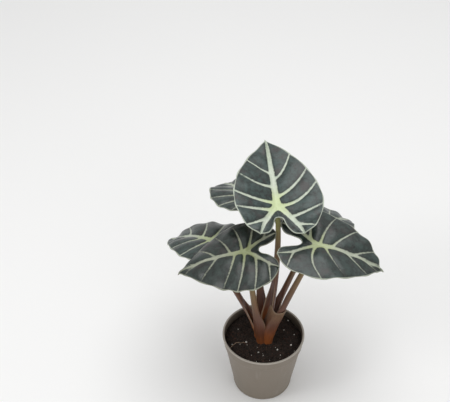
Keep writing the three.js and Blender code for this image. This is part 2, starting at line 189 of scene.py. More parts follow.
class PeatLook(bpy.types.PropertyGroup):
    relief: length("Relief", 0.0016, "How far the peat rises and falls")
    crumbs: count("Crumbs", 240000, "Crumbs for each square metre of peat")
    chips: count("Chips", 22000, "Bark chips for each square metre of peat")
    fibres: count("Fibres", 26000, "Fibres for each square metre of peat")
    grains: count("Grains", 2600, "Scattered perlite grains for each square metre of peat")
    dark: colour("Dark peat", (0.009, 0.006, 0.0045), "Colour of moist peat in the hollows")
    light: colour("Light peat", (0.036, 0.022, 0.014), "Colour of peat on the crests")
    bark: colour("Bark", (0.07, 0.026, 0.014), "Colour of the bark chips and fibres")
    perlite: colour("Perlite", (0.72, 0.7, 0.65), "Colour of the perlite grains")


class LeafLook(bpy.types.PropertyGroup):
    columns: count("Columns", 112, "Steps of the mesh along each half of a blade")
    rows: count("Rows", 48, "Steps of the mesh from the spine to the margin")
    inner_rows: count("Inner rows", 16, "Steps of the mesh from the basal rib to the sinus")
    thick: length("Thickness", 0.0007, "Thickness of a blade between its veins")
    quilt: share("Quilting", 0.02, "How far a blade swells between two veins, as a share of its length")
    groove: length("Groove", 0.0004, "How deep the veins lie in the upper face")
    rib: length("Rib", 0.0018, "How far the veins stand out below")
    margin: length("Margin", 0.0012, "Width of the pale margin")
    blade: colour("Blade", (0.031, 0.055, 0.05), "Grey-green of the upper face")
    # Darkest green of the blade's own patches, also used as painted shade in the grooves beside the veins
    dark_green_and_shade: colour("Dark patches", (0.009, 0.016, 0.014), "Darkest green of the upper face")
    bronze: colour("Bronze patches", (0.03, 0.022, 0.021), "Purple-brown tint in the upper face")
    vein: colour("Vein", (0.51, 0.56, 0.46), "Silver-green of the veins")
    young: colour("Vein base", (0.56, 0.65, 0.35), "Yellow-green where the veins meet")
    under: colour("Underside", (0.05, 0.026, 0.028), "Maroon-brown of the lower face")
    under_vein: colour("Underside vein", (0.26, 0.25, 0.13), "Olive of the veins on the lower face")


class StalkLook(bpy.types.PropertyGroup):
    sides: count("Sides", 40, "Steps round a stalk")
    steps: count("Steps", 120, "Steps along a stalk")
    base: length("Foot radius", 0.007, "Radius of a full-sized stalk at its foot")
    top: length("Top radius", 0.0031, "Radius of a full-sized stalk under its blade")
    sheath: share("Sheath", 0.46, "Share of the stalk that its open sheath takes")
    foot: colour("Foot", (0.33, 0.095, 0.022), "Orange-brown at the foot")
    low: colour("Lower stalk", (0.105, 0.038, 0.019), "Red-brown above the foot")
    middle: colour("Middle", (0.19, 0.115, 0.042), "Olive-tan along the middle")
    high: colour("Top", (0.28, 0.31, 0.09), "Yellow-green below the blade")
    edge: colour("Sheath edge", (0.36, 0.27, 0.18), "Pale papery edge of a sheath")


class StageLook(bpy.types.PropertyGroup):
    floor: length("Floor", 14.0, "Side of the floor")
    paint: colour("Floor colour", (0.88, 0.88, 0.875), "Pale colour of the floor")
    top: power("Top light", 15, "Power of the large soft light")
    key: power("Key light", 4.5, "Power of the light from the left")
    fill: power("Fill light", 6, "Power of the light from the front")
    sky: FloatProperty(name="Surroundings", default=0.6, description="Brightness of the surroundings", min=0)
    lens: FloatProperty(name="Lens", default=92.8, description="Focal length of the camera", unit="CAMERA")
    camera: FloatVectorProperty(name="Camera place", default=(-0.0564, -1.1561, 1.3614), unit="LENGTH",
                                description="Where the camera stands", subtype="TRANSLATION")
    tilt: FloatProperty(name="Camera tilt", default=math.radians(41), subtype="ANGLE",
                        description="How far the camera looks down")


# Shader maths

class Value:
    """A number inside a material: Python's operators on it add Math nodes."""

    def __init__(self, paint, socket):
        self.paint = paint
        self.socket = socket

    def __add__(self, other):
        return self.paint.math("ADD", self, other)

    def __sub__(self, other):
        return self.paint.math("SUBTRACT", self, other)

    def __rsub__(self, other):
        return self.paint.math("SUBTRACT", other, self)

    def __mul__(self, other):
        return self.paint.math("MULTIPLY", self, other)

    __radd__ = __add__
    __rmul__ = __mul__


class Nodes:
    """A node tree under construction."""

    def node(self, kind, settings=None, inputs=None, output=0):
        """Adds a node, sets its settings and then its sockets, and returns one of its outputs."""
        node = self.tree.nodes.new(kind)
        for key, value in (settings or {}).items():
            setattr(node, key, value)
        for key, value in (inputs or {}).items():
            if isinstance(value, bpy.types.NodeSocket):
                self.tree.links.new(value, node.inputs[key])
            else:
                node.inputs[key].default_value = value
        return node.outputs[output]


class Paint(Nodes):
    """A material under construction: node() adds any shader node, and the rest name the common ones."""

    def __init__(self, name):
        self.material = bpy.data.materials.new(name)
        self.material.use_nodes = True
        self.tree = self.material.node_tree
        self.tree.nodes.clear()

    def node(self, kind, settings=None, inputs=None, output=0):
        sockets = {key: getattr(value, "socket", value) for key, value in (inputs or {}).items()}
        return Value(self, super().node("ShaderNode" + kind, settings, sockets, output))

    def math(self, operation, first, second):
        return self.node("Math", {"operation": operation}, {0: first, 1: second})

    def high(self, first, second):
        return self.math("MAXIMUM", first, second)

    def mix(self, factor, first, second, blend="MIX"):
        """A colour between two colours, or blended from them; each is a socket or a plain colour."""
        colours = {k: c if isinstance(c, Value) else (*c, 1) for k, c in ((6, first), (7, second))}
        settings = {"data_type": "RGBA", "blend_type": blend}
        return self.node("Mix", settings, {0: factor, **colours}, output=2)

    def fade(self, value, start, end):
        """0 at start, 1 at end, smooth in between."""
        settings = {"interpolation_type": "SMOOTHSTEP"}
        return self.node("MapRange", settings, {"Value": value, "From Min": start, "From Max": end})

    def layers(self, base, rows):
        """Colours laid over the base, each with a field, where it starts and is full, and its strength."""
        for field, start, full, strength, colour in rows:
            base = self.mix(self.fade(field, start, full) * strength, base, colour)
        return base

    def noise(self, place, scale, detail=2.0, rough=0.5, bend=0.0):
        inputs = {"Vector": place, "Scale": scale, "Detail": detail, "Roughness": rough, "Distortion": bend}
        return self.node("TexNoise", None, inputs)

    def cells(self, place, scale, feature="F1"):
        return self.node("TexVoronoi", {"feature": feature}, {"Vector": place, "Scale": scale})

    def stretched(self, place, scales):
        return self.node("VectorMath", {"operation": "MULTIPLY"}, {0: place, 1: scales})

    def here(self):
        return self.node("TexCoord", output="Object")

    def flat(self, name):
        return self.node("UVMap", {"uv_map": name})

    def marks(self, name):
        """The three numbers of a vector attribute."""
        vector = self.node("Attribute", {"attribute_name": name}, output="Vector")
        parts = self.node("SeparateXYZ", None, {0: vector}).socket.node
        return [Value(self, each) for each in parts.outputs]

    def bump(self, height, distance, strength=1.0):
        return self.node("Bump", None, {"Height": height, "Distance": distance, "Strength": strength})

    def finish(self, **sockets):
        """Ends in a Principled shader; underscores in the names stand for spaces."""
        inputs = {key.replace("_", " "): value for key, value in sockets.items()}
        shader = self.node("BsdfPrincipled", None, inputs)
        output = self.tree.nodes.new("ShaderNodeOutputMaterial")
        self.tree.links.new(shader.socket, output.inputs["Surface"])
        return self.material


# Meshes

def add_object(name, data):
    """A new object in the scene, at the origin."""
    thing = bpy.data.objects.new(name, data)
    bpy.context.scene.collection.objects.link(thing)
    return thing


def add_piece(name, points, faces, material, node=None, sharp=180):
    """A finished piece on the root body: points in metres, faces as lists of corners."""
    mesh = bpy.data.meshes.new(name)
    mesh.from_pydata(np.asarray(points).tolist(), [], faces)
    return finish_piece(name, mesh, material, node, sharp)


def finish_piece(name, mesh, material, node=None, sharp=60):
    piece = add_object(name, mesh)
    if mesh.validate():
        raise RuntimeError(name + " had broken faces")
    mesh.shade_smooth()
    mesh.set_sharp_from_angle(angle=math.radians(sharp))
    for each in material if isinstance(material, list) else [material]:
        mesh.materials.append(each)
    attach(piece, "root")
    if node:
        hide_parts(node)
    return piece


def add_marks(mesh, name, rows):
    """A vector attribute from three numbers for each vertex."""
    values = np.ravel(rows).astype(np.float32)
    mesh.attributes.new(name, "FLOAT_VECTOR", "POINT").data.foreach_set("vector", values)


def add_flat(mesh, name, rows):
    """A UV map from one pair of coordinates for each vertex."""
    corners = np.empty(len(mesh.loops), np.int32)
    mesh.loops.foreach_get("vertex_index", corners)
    values = np.ravel(np.asarray(rows)[corners]).astype(np.float32)
    mesh.uv_layers.new(name=name).data.foreach_set("uv", values)


def unit(rows):
    return rows / np.linalg.norm(rows, axis=1)[:, None]


def circle(sides):
    """The corners of a flat circle of radius 1, anticlockwise."""
    angles = np.arange(sides) * math.tau / sides
    return np.stack([np.cos(angles), np.sin(angles)], 1)


def smoothstep(x, low, high):
    t = np.clip((x - low) / (high - low), 0, 1)
    return t * t * (3 - 2 * t)


def ripple(points, size, seed, waves=14):
    """A smooth random field from about -1 to 1, whose bumps are about size across."""
    random = np.random.default_rng(seed)
    points = np.asarray(points, float)
    total = np.zeros(len(points))
    for _ in range(waves):
        direction = random.normal(size=points.shape[1])
        direction *= random.uniform(0.7, 1.5) * math.pi / size / np.linalg.norm(direction)
        total += np.sin(points @ direction + random.uniform(0, 2 * math.pi))
    return total * math.sqrt(2 / waves) / 1.6


def spline(points, t):
    """A uniform Catmull-Rom curve through the points, at the shares t."""
    p = np.asarray(points, float)
    last = len(p) - 1
    t = np.clip(np.atleast_1d(t) * last, 0, last)
    i = np.minimum(t.astype(int), last - 1)
    w = (t - i)[:, None]
    p1, p2 = p[i], p[i + 1]
    v0 = (p2 - p[np.maximum(i - 1, 0)]) / 2
    v1 = (p[np.minimum(i + 2, last)] - p1) / 2
    return (2 * p1 - 2 * p2 + v0 + v1) * w**3 + (3 * p2 - 3 * p1 - 2 * v0 - v1) * w**2 + v0 * w + p1


def close_rings(rings, ends=None):
    """Faces over rings of points, anticlockwise seen from the last one, with a point to close each end."""
    sides = len(rings[0])
    points = np.concatenate([*rings, ends or [rings[0].mean(0), rings[-1].mean(0)]])
    first, last, top = len(points) - 2, len(points) - 1, (len(rings) - 1) * sides
    faces = []
    for k in range(sides):
        n = (k + 1) % sides
        faces.append([first, n, k])
        faces.append([last, top + k, top + n])
        faces += [[j + k, j + n, j + sides + n, j + sides + k] for j in range(0, top, sides)]
    return points, faces


def lathe(profile, sides):
    """A turned body from a profile of radii and heights that starts and ends on the axis."""
    rings = [np.column_stack([radius * circle(sides), np.full(sides, z)]) for radius, z in profile[1:-1]]
    return close_rings(rings, [(0, 0, profile[0][1]), (0, 0, profile[-1][1])])


def tube(path, radii, sides):
    """A closed round tube along points in space."""
    tangents = unit(np.gradient(path, axis=0))
    side = unit(np.cross(tangents, [0.1, 0.2, 1]))
    up = np.cross(tangents, side)
    return close_rings([p + r * (circle(sides) @ [s, u]) for p, r, s, u in zip(path, radii, side, up)])


def joined(bodies):
    """Several bodies as one, each given as its points and faces."""
    all_points, all_faces, start = [], [], 0
    for points, faces in bodies:
        all_faces += [[n + start for n in face] for face in faces]
        all_points.append(points)
        start += len(points)
    return np.concatenate(all_points), all_faces


def rounded(corners, radius, steps=4):
    """A profile whose inner corners are rounded, where the neighbouring lines leave room for it."""
    out = [corners[0]]
    for before, corner, after in zip(corners, corners[1:], corners[2:]):
        a, b, c = (np.array(p, float) for p in (before, corner, after))
        reach = min(radius, np.linalg.norm(a - b) / 2.2, np.linalg.norm(c - b) / 2.2)
        start = b + (a - b) / np.linalg.norm(a - b) * reach
        end = b + (c - b) / np.linalg.norm(c - b) * reach
        for t in np.linspace(0, 1, steps + 1):
            out.append(tuple((1 - t) ** 2 * start + 2 * t * (1 - t) * b + t * t * end))
    return out + [corners[-1]]


# Geometry Nodes

class Tree(Nodes):
    """A Geometry Nodes tree under construction, with named inputs and a fixed seed."""

    def __init__(self, name, numbers):
        self.tree = bpy.data.node_groups.new(name, "GeometryNodeTree")
        sockets = self.tree.interface
        sockets.new_socket("Geometry", in_out="INPUT", socket_type="NodeSocketGeometry")
        for key, value in numbers.items():
            kind = "NodeSocketInt" if isinstance(value, int) else "NodeSocketFloat"
            sockets.new_socket(key, in_out="INPUT", socket_type=kind)
        sockets.new_socket("Geometry", in_out="OUTPUT", socket_type="NodeSocketGeometry")
        self.numbers = numbers
        self.inputs = self.tree.nodes.new("NodeGroupInput").outputs

    def random(self, low, high, seed):
        """A random vector for each point."""
        inputs = {"Min": low, "Max": high, "Seed": seed}
        return self.node("FunctionNodeRandomValue", {"data_type": "FLOAT_VECTOR"}, inputs)

    def scaled(self, vector, scale):
        return self.node("ShaderNodeVectorMath", {"operation": "SCALE"}, {0: vector, "Scale": scale})

    def scatter(self, shape, turns, sizes):
        """The shape on random points of the mesh, turned and sized at random between two vectors each."""
        seed = self.numbers["Seed"]
        inputs = {"Mesh": self.inputs["Geometry"], "Density": self.inputs["Density"],
                  "Seed": self.inputs["Seed"]}
        points = self.node("GeometryNodeDistributePointsOnFaces", None, inputs)
        size = self.scaled(self.random(*sizes, seed + 1), self.inputs["Size"])
        inputs = {"Points": points, "Instance": shape, "Rotation": self.random(*turns, seed), "Scale": size}
        return self.node("GeometryNodeInstanceOnPoints", None, inputs)

    def grow(self, mesh, material, result):
        """Ends the tree in a result, runs it on the mesh and returns what grows as a plain mesh."""
        output = self.tree.nodes.new("NodeGroupOutput")
        real = self.node("GeometryNodeRealizeInstances", None, {0: result})
        done = self.node("GeometryNodeSetMaterial", None, {"Geometry": real, "Material": material})
        self.tree.links.new(done, output.inputs[0])
        carrier = add_object("carrier", mesh)
        modifier = carrier.modifiers.new("Grow", "NODES")
        modifier.node_group = self.tree
        for item in self.tree.interface.items_tree:
            if item.in_out == "INPUT" and item.name in self.numbers:
                modifier[item.identifier] = self.numbers[item.name]
        carrier.update_tag()
        seen = carrier.evaluated_get(bpy.context.evaluated_depsgraph_get())
        grown = bpy.data.meshes.new_from_object(seen)
        carrier.modifiers.remove(modifier)
        bpy.data.objects.remove(carrier)
        grown.materials.clear()
        return grown


# Pot

def pot_inside(z):
    """The wall's inner radius at a height, between the floor and the collar."""
    outer = FOOT_RADIUS + (COLLAR_RADIUS - STEP_IN - FOOT_RADIUS) * min(max(z / COLLAR_BOTTOM, 0), 1)
    return outer - POT_WALL


def pot_material(look):
    paint = Paint("moulded plastic")
    place = paint.here()
    height = paint.node("SeparateXYZ", None, {0: place}, output="Z")
    level = paint.stretched(place, (1, 1, 0))
    radius = paint.node("VectorMath", {"operation": "LENGTH"}, {0: level}, output="Value")
    cloud = paint.noise(place, 45, 4, 0.6)
    speck = paint.noise(place, 900, 3, 0.7)
    drips = paint.noise(paint.stretched(place, (160, 160, 22)), 1, 3, 0.6)
    spots = paint.noise(place, 320, 3, 0.6)
    lip = height + (cloud - 0.5) * 0.0012
    base = paint.layers(paint.mix(cloud * 0.5, look.plastic, look.dust), [
        (drips, 0.56, 0.8, 0.45, look.dust),
        (speck, 0.66, 0.78, 0.25, look.worn_and_highlight),
        # Painted highlight: a pale band along the top edge of the lip, partly wear
        (lip, (POT_HEIGHT - 1.9) * MM, (POT_HEIGHT - 1.2) * MM, 0.85, look.worn_and_highlight),
        (spots, 0.66, 0.72, 0.12, look.stain_and_shade),
    ])
    # Painted shade: the inner wall of the collar is darkened with the stain colour, most near the peat,
    # partly soil stain
    inside = paint.fade(radius, (COLLAR_RADIUS - 0.05) * MM, (COLLAR_RADIUS - 0.2) * MM)
    inside = inside * paint.fade(height, (COLLAR_BOTTOM + 0.5) * MM, (COLLAR_BOTTOM + 2) * MM)
    low = 1 - paint.fade(height + (cloud - 0.5) * 0.012, (PEAT - 1) * MM, POT_HEIGHT * MM)
    base = paint.mix(inside * (low * 0.55 + 0.35), base, look.stain_and_shade)
    grain = speck * 0.6 + paint.noise(place, 260, 2) * 0.4
    rough = 0.5 + (cloud - 0.5) * 0.25
    return paint.finish(Base_Color=base, Roughness=rough, Normal=paint.bump(grain, 0.00035, 0.6))


def build_pot(look):
    foot_inside = FOOT_RADIUS - FOOT_WIDTH
    floor_top = FOOT_RAISE + POT_WALL
    collar_top = COLLAR_RADIUS + 1
    inside = collar_top - POT_WALL
    wall = FOOT_RADIUS + (COLLAR_RADIUS - STEP_IN - FOOT_RADIUS) * 0.06
    profile = rounded([
        (0, 0), (PAD_RADIUS - 2, 0), (PAD_RADIUS, 0), (PAD_RADIUS + 1.5, FOOT_RAISE),
        (foot_inside - 1.5, FOOT_RAISE), (foot_inside, 0), (FOOT_RADIUS, 0),
        (wall + 0.5, 4.6), (wall + 0.1, 5.4), (COLLAR_RADIUS - STEP_IN, STEP_BOTTOM),
        (COLLAR_RADIUS, COLLAR_BOTTOM), (collar_top - 0.1, POT_HEIGHT - 2.3),
        (RIM_RADIUS - 0.2, POT_HEIGHT - 2.1), (RIM_RADIUS, POT_HEIGHT - 1.7),
        (RIM_RADIUS, POT_HEIGHT), (inside, POT_HEIGHT), (inside - 0.1, POT_HEIGHT - 1.6),
        (COLLAR_RADIUS - POT_WALL, COLLAR_BOTTOM + POT_WALL), (pot_inside(STEP_BOTTOM), STEP_BOTTOM),
        (pot_inside(floor_top), floor_top), (0, floor_top),
    ], look.lip_round / MM)
    points, faces = lathe([(0, -4), (HOLE_RADIUS, -4), (HOLE_RADIUS, 9), (0, 9)], 32)
    drills = [(points + [x, y, 0], faces) for x, y in HOLE_CIRCLE * circle(HOLES)]
    things = []
    for name, (points, faces) in (("pot body", lathe(profile, look.sides)), ("drills", joined(drills))):
        mesh = bpy.data.meshes.new(name)
        mesh.from_pydata((points * MM).tolist(), [], faces)
        things.append(add_object(name, mesh))
    body, drill = things
    cut = body.modifiers.new("Holes", "BOOLEAN")
    cut.object = drill
    cut.operation = "DIFFERENCE"
    seen = body.evaluated_get(bpy.context.evaluated_depsgraph_get())
    finished = bpy.data.meshes.new_from_object(seen)
    for each in things:
        bpy.data.objects.remove(each)
    finished.materials.clear()
    finish_piece("nursery_pot", finished, pot_material(look), "pot", sharp=40)


# Peat

def peat_height(places, relief):
    """Height of the peat in millimetres at places across it, lower at the wall and drawn up at the stem."""
    radius = np.hypot(places[:, 0], places[:, 1])
    broad = ripple(places, 26, 3) * 0.9
    lumps = ripple(places, 7, 4) * 0.8 + ripple(places, 3.2, 5) * 0.45
    stem = 2.0 * np.exp(-((radius / 15) ** 4))
    return PEAT + broad + lumps * relief / MM / 1.6 + stem - 1.2 * smoothstep(radius, 50, 56)


def peat_surface(look, rings, sides, edge):
    """The top of the peat as a disc, in metres."""
    radii = edge * np.arange(1, rings + 1) / rings
    flat = np.concatenate([*(radii[:, None, None] * circle(sides)), [[0, 0]]])
    points = np.column_stack([flat, peat_height(flat, look.relief)]) * MM
    around = [(k, (k + 1) % sides) for k in range(sides)]
    faces = [[rings * sides, k, n] for k, n in around]
    for j in range(0, (rings - 1) * sides, sides):
        faces += [[j + k, j + sides + k, j + sides + n, j + n] for k, n in around]
    return points, faces


def peat_material(look):
    paint = Paint("moist peat")
    place = paint.here()
    crumb = paint.noise(place, 520, 5, 0.75)
    patch = paint.noise(place, 90, 3, 0.6)
    base = paint.layers(look.dark, [(crumb, 0.35, 0.7, 1, look.light), (patch, 0.5, 0.8, 0.4, look.bark)])
    rough = 0.95 - paint.fade(patch, 0.55, 0.75) * 0.25
    return paint.finish(Base_Color=base, Roughness=rough, Normal=paint.bump(crumb, 0.0012, 0.9))


def bark_material(look):
    paint = Paint("bark and fibre")
    place = paint.here()
    base = paint.layers(look.light, [
        (paint.noise(place, 160, 3, 0.6), 0.3, 0.7, 1, look.bark),
        (paint.noise(place, 420, 2), 0.6, 0.75, 0.5, (0.2, 0.11, 0.06)),
    ])
    normal = paint.bump(paint.noise(place, 1400, 3), 0.0004)
    return paint.finish(Base_Color=base, Roughness=0.85, Normal=normal)


def perlite_material(look):
    paint = Paint("perlite")
    pores = paint.noise(paint.here(), 1500, 3, 0.7)
    base = paint.layers(look.perlite, [(pores, 0.45, 0.65, 0.5, (0.42, 0.37, 0.3))])
    return paint.finish(Base_Color=base, Roughness=0.9, Normal=paint.bump(pores, 0.0004, 0.8))


def add_scatter(name, surface, material, numbers, sizes, detail):
    """Lumps of an uneven outline on the surface, each of its own size and turn."""
    tree = Tree(name, numbers)
    lump = tree.node("GeometryNodeMeshIcoSphere", None, {"Radius": 1.0, "Subdivisions": detail})
    spread = tree.scatter(lump, ((0, 0, 0), (math.tau, math.tau, math.tau)), sizes)
    real = tree.node("GeometryNodeRealizeInstances", None, {0: spread})
    inputs = {"Vector": tree.node("GeometryNodeInputPosition"), "Scale": 1.1 / numbers["Size"]}
    noise = tree.node("ShaderNodeTexNoise", None, inputs, output="Color")
    middle = tree.node("ShaderNodeVectorMath", {"operation": "SUBTRACT"}, {0: noise, 1: (0.5, 0.5, 0.5)})
    push = {"Geometry": real, "Offset": tree.scaled(middle, 1.6 * numbers["Size"])}
    uneven = tree.node("GeometryNodeSetPosition", None, push)
    finish_piece(name, tree.grow(surface, material, uneven), material)


def add_fibres(name, surface, material, numbers):
    """Thin bent fibres that lie on the peat. Size is half the length of the longest one."""
    tree = Tree(name, numbers)
    ends = {"Start": (-1, 0, 0), "Middle": (0.1, 0.7, 0.15), "End": (1, -0.2, 0), "Resolution": 7}
    line = tree.node("GeometryNodeCurveQuadraticBezier", None, ends)
    inputs = {"Resolution": 4, "Radius": tree.inputs["Thickness"]}
    section = tree.node("GeometryNodeCurvePrimitiveCircle", None, inputs)
    inputs = {"Curve": line, "Profile Curve": section, "Fill Caps": True}
    fibre = tree.node("GeometryNodeCurveToMesh", None, inputs)
    turns = (-0.25, -0.25, 0), (0.25, 0.25, math.tau)
    spread = tree.scatter(fibre, turns, ((0.25, 0.25, 0.25), (1, 1, 0.5)))
    lifted = tree.node("GeometryNodeSetPosition", None, {"Geometry": spread, "Offset": (0, 0, FIBRE_LIFT)})
    finish_piece(name, tree.grow(surface, material, lifted), material)


def build_peat(look):
    points, faces = peat_surface(look, 90, PEAT_SIDES, PEAT_EDGE)
    low = len(points) - 1 - PEAT_SIDES
    outline = points[low:-1] * [1, 1, 0] / PEAT_EDGE
    around = np.arange(PEAT_SIDES)
    ahead = (around + 1) % PEAT_SIDES
    deep = [(PEAT_EDGE - 1.2, COLLAR_BOTTOM + 1), (pot_inside(STEP_BOTTOM) - 0.4, STEP_BOTTOM - 1),
            (pot_inside(PEAT_BOTTOM) - 0.4, PEAT_BOTTOM)]
    for radius, z in deep:
        start = len(points)
        faces += np.stack([low + around, start + around, start + ahead, low + ahead], 1).tolist()
        points = np.concatenate([points, outline * radius + [0, 0, z * MM]])
        low = start
    faces += [[len(points), low + n, low + k] for k, n in zip(around.tolist(), ahead.tolist())]
    points = np.concatenate([points, [[0, 0, PEAT_BOTTOM * MM]]])
    peat, bark, perlite = peat_material(look), bark_material(look), perlite_material(look)
    add_piece("peat", points, faces, peat, "soil")

    def patch(edge):
        """A disc of peat for things to lie on, small enough that none of them pierces the wall."""
        mesh = bpy.data.meshes.new("peat patch")
        spots, corners = peat_surface(look, 60, 120, edge)
        mesh.from_pydata(spots.tolist(), [], corners)
        return mesh

    def add_lumps(name, edge, material, density, size, seed, sizes, detail=1):
        numbers = {"Density": float(density), "Size": size, "Seed": seed}
        add_scatter(name, patch(edge), material, numbers, sizes, detail)

    add_lumps("peat_crumbs", 54, peat, look.crumbs, 0.0009, 11, ((0.4, 0.4, 0.35), (1.9, 1.6, 1.2)))
    add_lumps("bark_chips", 52, bark, look.chips, 0.0014, 23, ((0.5, 0.35, 0.15), (2.0, 0.9, 0.4)))
    numbers = {"Density": float(look.fibres), "Size": 0.006, "Thickness": 0.045, "Seed": 31}
    add_fibres("peat_fibres", patch(48), bark, numbers)
    add_lumps("fine_perlite", 53, perlite, look.grains, 0.0006, 47, ((0.4, 0.4, 0.4), (1.5, 1.3, 1.1)), 2)
    add_grains(perlite, look)
    add_rootlet(look)


def add_grains(material, look):
    """The larger perlite grains, each an uneven lump half sunk in the peat."""
    bows = [(math.sin(a), -math.cos(a)) for a in np.linspace(0.2, 2.94, 12)]
    sphere, faces = lathe([(0, -1), *bows, (0, 1)], 18)
    grains = []
    for i, (x, y, size) in enumerate(GRAINS):
        lump = sphere * (1 + 0.22 * ripple(sphere, 1.1, 60 + i))[:, None] * [0.62, 0.46, 0.42]
        turn = np.array(Euler((0.3 * i, 0.5 * i, 1.3 * i)).to_matrix())
        height = peat_height(np.array([[x, y]]), look.relief)[0] + 0.32 * size
        grains.append((lump @ turn.T * size + [x, y, height], faces))
    points, faces = joined(grains)
    add_piece("perlite", points * MM, faces, material)


def add_rootlet(look):
    t = np.linspace(0, 1, 40)
    path = spline(ROOTLET, t)
    heights = peat_height(path, look.relief) + 0.9 + 1.1 * np.sin(math.pi * t)
    points, faces = tube(np.column_stack([path, heights]), np.linspace(0.42, 0.22, len(t)), 8)
    paint = Paint("rootlet")
    base = paint.mix(paint.noise(paint.here(), 700, 2), (0.3, 0.2, 0.13), (0.5, 0.38, 0.27))
    add_piece("rootlet", points * MM, faces, paint.finish(Base_Color=base, Roughness=0.6))


# Leaves

def leaf_turn(leaf):
    """The turn of a leaf about its stalk's top: roll first, then pitch, then heading."""
    heading, pitch, roll = (math.radians(a) for a in leaf["turn"])
    return Matrix.Rotation(heading, 3, "Z") @ Matrix.Rotation(pitch, 3, "Y") @ Matrix.Rotation(roll, 3, "X")


def side_veins(leaf, side):
    """The side veins of one half: its own table, or the plain one with a fixed draw of small shifts."""
    random = np.random.default_rng(int(leaf["size"] * 10) + (side > 0))
    plain = [tuple(random.uniform(-0.015, 0.015, 3) + vein) for vein in SIDE_VEINS]
    return leaf.get("left" if side > 0 else "right", plain)


def spine(s):
    """The spine of half a blade: the midrib from the tip, then the basal rib to the end of the lobe."""
    s = np.atleast_1d(s)
    midrib = np.stack([1 - s / JUNCTION, np.zeros_like(s)], 1)
    rib = spline(BASAL_RIB, (s - JUNCTION) / (1 - JUNCTION))
    return np.where((s <= JUNCTION)[:, None], midrib, rib)


def vein_field(veins, s):
    """At places along the spine: the share of the margin that belongs there, the bow and the vein number."""
    stops = np.array([(0, 0, veins[0][2]), *veins, (1, 1, veins[-1][2])])
    return [np.interp(s, stops[:, 0], column) for column in (stops[:, 1], stops[:, 2], np.arange(len(stops)))]


def across(start, end, bow, t):
    """A side vein's way from the spine to the margin, bowed back towards the stalk."""
    middle = (start + end) / 2
    middle[:, 0] -= bow * np.linalg.norm(end - start, axis=1)
    t = np.asarray(t)[:, None]
    return (1 - t) ** 2 * start + 2 * t * (1 - t) * middle + t * t * end


def flat_half(leaf, side, look):
    """Two grids of one half of the flat blade: outer, from spine to margin, and inner, from rib to sinus."""
    veins = side_veins(leaf, side)
    s = np.linspace(0, 1, look.columns + 1)
    s[np.argmin(abs(s - JUNCTION))] = JUNCTION
    shares, bow, phase = vein_field(veins, s)
    start, end = spine(s), spline(OUTER_MARGIN, shares)
    scallop = 0.5 * (1 + np.cos(math.tau * phase))
    middle = (phase > 0.5) & (phase < len(veins) + 0.5)
    end = start + (end - start) * (1 + 0.02 * (scallop - 0.5) * middle)[:, None]
    rows = np.linspace(0, 1, look.rows + 1)
    outer = np.stack([across(start, end, bow, np.full(len(s), t)) for t in rows], 1)
    swell = np.abs(np.sin(math.pi * phase))[:, None] ** 0.75 * np.sin(math.pi * rows)[None] ** 0.7
    wave = np.repeat(scallop[:, None], len(rows), 1)

    lobe = s[s >= JUNCTION - 1e-9]
    along = (lobe - JUNCTION) / (1 - JUNCTION)
    ribs = spline(BASAL_RIB, along)
    sinus = spline(INNER_MARGIN, np.maximum(along - SINUS_SHARE, 0) / (1 - SINUS_SHARE))
    sinus = np.where((along <= SINUS_SHARE)[:, None], np.outer(along / SINUS_SHARE, INNER_MARGIN[0]), sinus)
    inner_rows = np.linspace(0, 1, look.inner_rows + 1)
    inner = np.stack([ribs + (sinus - ribs) * t for t in inner_rows], 1)
    taper = smoothstep(along, 0, 0.35) * (1 - smoothstep(along, 0.75, 1))
    inner_swell = 0.6 * np.outer(taper, np.sin(math.pi * inner_rows))
    for grid in (outer, inner):
        grid[..., 1] *= side
    zero = np.zeros_like(inner_swell)
    return (outer, swell, wave), (inner, inner_swell, zero)


def flat_blade(leaf, look):
    """The flat blade: places, swell and wave of its points, and its faces, anticlockwise from above."""
    places, extras, faces, start = [], [], [], 0
    for side in (1, -1):
        for number, (grid, swell, wave) in enumerate(flat_half(leaf, side, look)):
            columns, rows = grid.shape[:2]
            index = start + np.arange(columns * rows).reshape(columns, rows)
            corners = [index[:-1, :-1], index[1:, :-1], index[1:, 1:], index[:-1, 1:]]
            quads = np.stack(corners, -1).reshape(-1, 4)
            faces.append(quads[:, ::-1] if (side > 0) == (number == 0) else quads)
            places.append(grid.reshape(-1, 2))
            extras.append(np.stack([swell.ravel(), wave.ravel()], 1))
            start += columns * rows
    places, extras, faces = map(np.concatenate, (places, extras, faces))
    keys = np.round(places, 5) + 0.0
    _, first, merged = np.unique(keys, axis=0, return_index=True, return_inverse=True)
    faces = [list(dict.fromkeys(face)) for face in merged.ravel()[faces].tolist()]
    return places[first], extras[first], [face for face in faces if len(face) > 2]


def vein_lines(leaf):
    """The centre lines of all veins on the flat blade, with their half widths in millimetres."""
    t = np.linspace(-0.03, 1, 40)
    midrib = np.column_stack([np.linspace(-0.03, 0.995, 40), np.zeros(40)])
    lines = [(midrib, np.interp(t, *np.transpose(MIDRIB_WIDTHS)))]
    for side in (1, -1):
        t = np.linspace(0, 0.985, 26)
        for root, end, bow in side_veins(leaf, side):
            ends = [np.repeat(place, len(t), 0) for place in (spine(root), spline(OUTER_MARGIN, end))]
            width = np.interp(root, *np.transpose(VEIN_ROOTS)) * (0.38 + 0.62 * (1 - t) ** 0.9)
            lines.append((across(*ends, bow, t) * [1, side], width))
        t = np.linspace(0, 0.97, 30)
        lines.append((spline(BASAL_RIB, t) * [1, side], np.interp(t, *np.transpose(RIB_WIDTHS))))
    return lines


